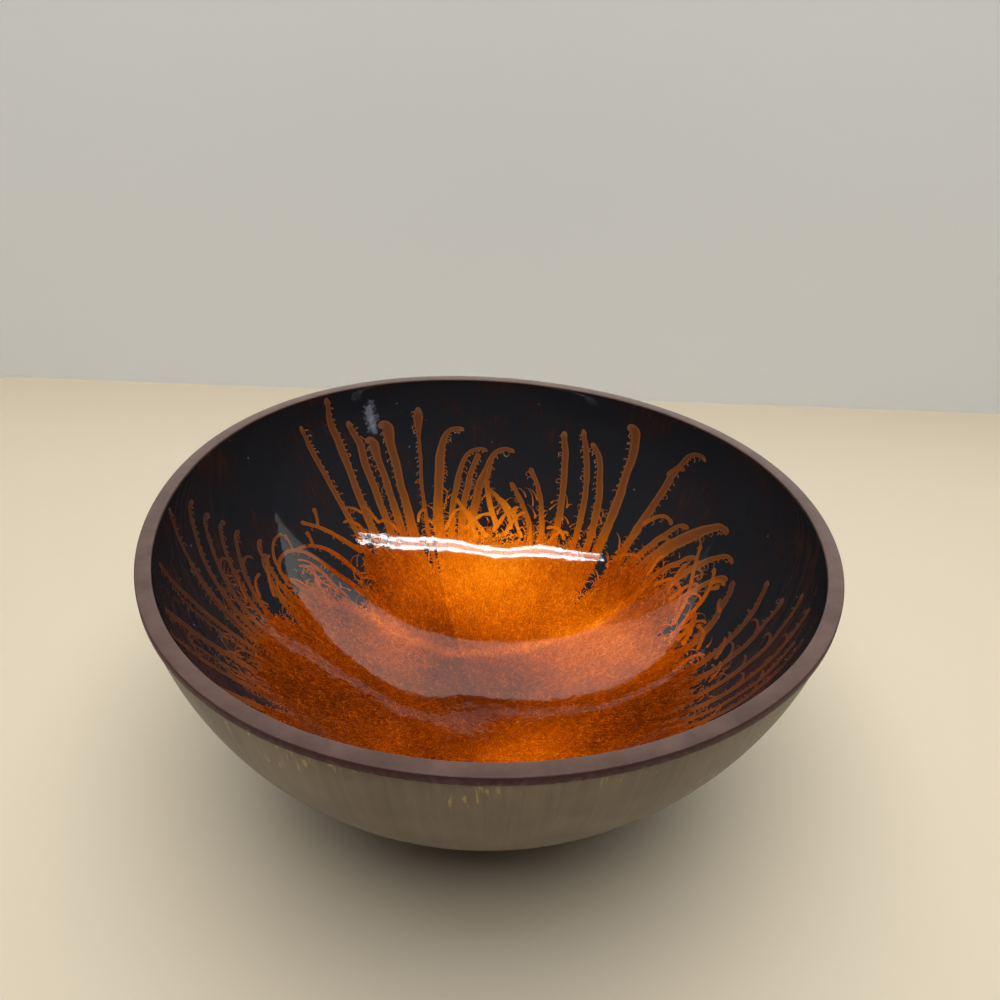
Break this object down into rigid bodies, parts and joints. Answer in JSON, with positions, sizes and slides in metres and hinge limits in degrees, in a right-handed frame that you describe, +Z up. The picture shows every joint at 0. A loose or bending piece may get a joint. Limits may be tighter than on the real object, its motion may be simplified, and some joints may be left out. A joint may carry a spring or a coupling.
{
  "type": "coconut shell bowl",
  "caption": "Half coconut shell bowl with a sanded base, black lacquer lining, purple-brown rim and feathered orange lacquer plumes inside.",
  "frame": {"origin": "middle of the flat sanded base, on the table", "axes": "+Z up out of the bowl's mouth, +X to the right and +Y away from the picture's viewer"},
  "size_m": [0.1339, 0.1365, 0.058],
  "materials": {
    "coconut": "sanded and oiled, satin",
    "black_lacquer": "polished gloss lacquer",
    "rim_lacquer": "satin brushed lacquer",
    "orange_lacquer": "blown lacquer under gloss"
  },
  "bodies": {
    "root": {"coconut_shell": "coconut", "black_lining": "black_lacquer", "rim_lacquer": "rim_lacquer", "orange_pool": "orange_lacquer", "plume_right": "orange_lacquer", "plume_back_right": "orange_lacquer", "plume_back": "orange_lacquer", "plume_back_left": "orange_lacquer", "plume_left_back": "orange_lacquer", "plume_left": "orange_lacquer", "plume_left_front": "orange_lacquer", "plume_front": "orange_lacquer", "plume_front_right": "orange_lacquer"}
  },
  "joints": []
}
